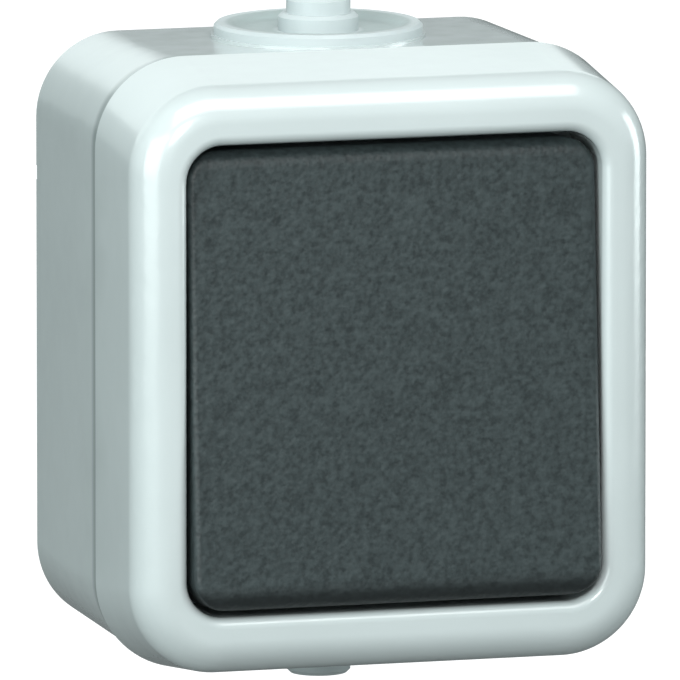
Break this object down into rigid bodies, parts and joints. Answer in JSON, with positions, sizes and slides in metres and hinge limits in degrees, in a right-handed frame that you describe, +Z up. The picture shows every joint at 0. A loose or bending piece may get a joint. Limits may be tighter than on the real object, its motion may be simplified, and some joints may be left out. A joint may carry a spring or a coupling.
{
  "type": "outdoor weatherproof switch",
  "caption": "Surface-mounted weatherproof rocker switch: light grey box in two shells, dark grey rocker, membrane cable entries above and below.",
  "frame": {"origin": "middle of the face that lies against the wall", "axes": "+X to the right as seen from the front, +Y into the wall, +Z up; the front looks along -Y"},
  "size_m": [0.0672, 0.0508, 0.0852],
  "materials": {
    "light_grey_shell": "smooth moulded light grey plastic",
    "dark_grey_rocker": "finely grained dark grey plastic",
    "soft_grey_membrane": "soft light grey elastomer",
    "dark_seal": "closed-cell seal rubber",
    "lever_plastic": "plain moulded plastic",
    "insulating_plastic": "plain insulating plastic",
    "plated_steel": "zinc-plated steel",
    "spring_steel": "drawn spring wire",
    "contact_metal": "stamped copper alloy",
    "contact_silver": "bright silver alloy"
  },
  "bodies": {
    "housing": {"base_housing": "light_grey_shell", "front_cover": "light_grey_shell", "perimeter_gasket": "dark_seal", "lever_pin": "plated_steel", "fixed_contact_tips": "contact_silver", "upper_fixed_contact": "contact_metal", "lower_fixed_contact": "contact_metal", "common_contact": "contact_metal", "terminal_clamps": "plated_steel", "terminal_screws": "plated_steel", "insert_body": "insulating_plastic", "insert_plate": "insulating_plastic", "insert_seal": "dark_seal", "plate_rivets": "plated_steel", "insert_screws": "plated_steel", "cover_screws": "plated_steel", "cover_screw_seals": "dark_seal", "top_cable_grommet": "soft_grey_membrane", "bottom_cable_grommet": "soft_grey_membrane", "earth_terminal": "contact_metal", "earth_terminal_screw": "plated_steel"},
    "rocker_unit": {"rocker": "dark_grey_rocker", "rocker_lever": "lever_plastic", "plunger": "lever_plastic", "plunger_spring": "spring_steel"},
    "contact_see_saw": {"contact_blade": "contact_metal", "moving_contact_tips": "contact_silver"}
  },
  "joints": [
    {"name": "rocker_tilt", "type": "hinge", "parent": "housing", "child": "rocker_unit", "pos_m": [0, -0.044, 0], "axis": [1, 0, 0], "range_deg": [0, 8]},
    {"name": "see_saw_tilt", "type": "hinge", "parent": "housing", "child": "contact_see_saw", "pos_m": [0, -0.02485, 0], "axis": [1, 0, 0], "range_deg": [-14, 0]}
  ],
  "couplings": [
    {"joint": "see_saw_tilt", "follows": "rocker_tilt", "ratio": -1.75}
  ]
}
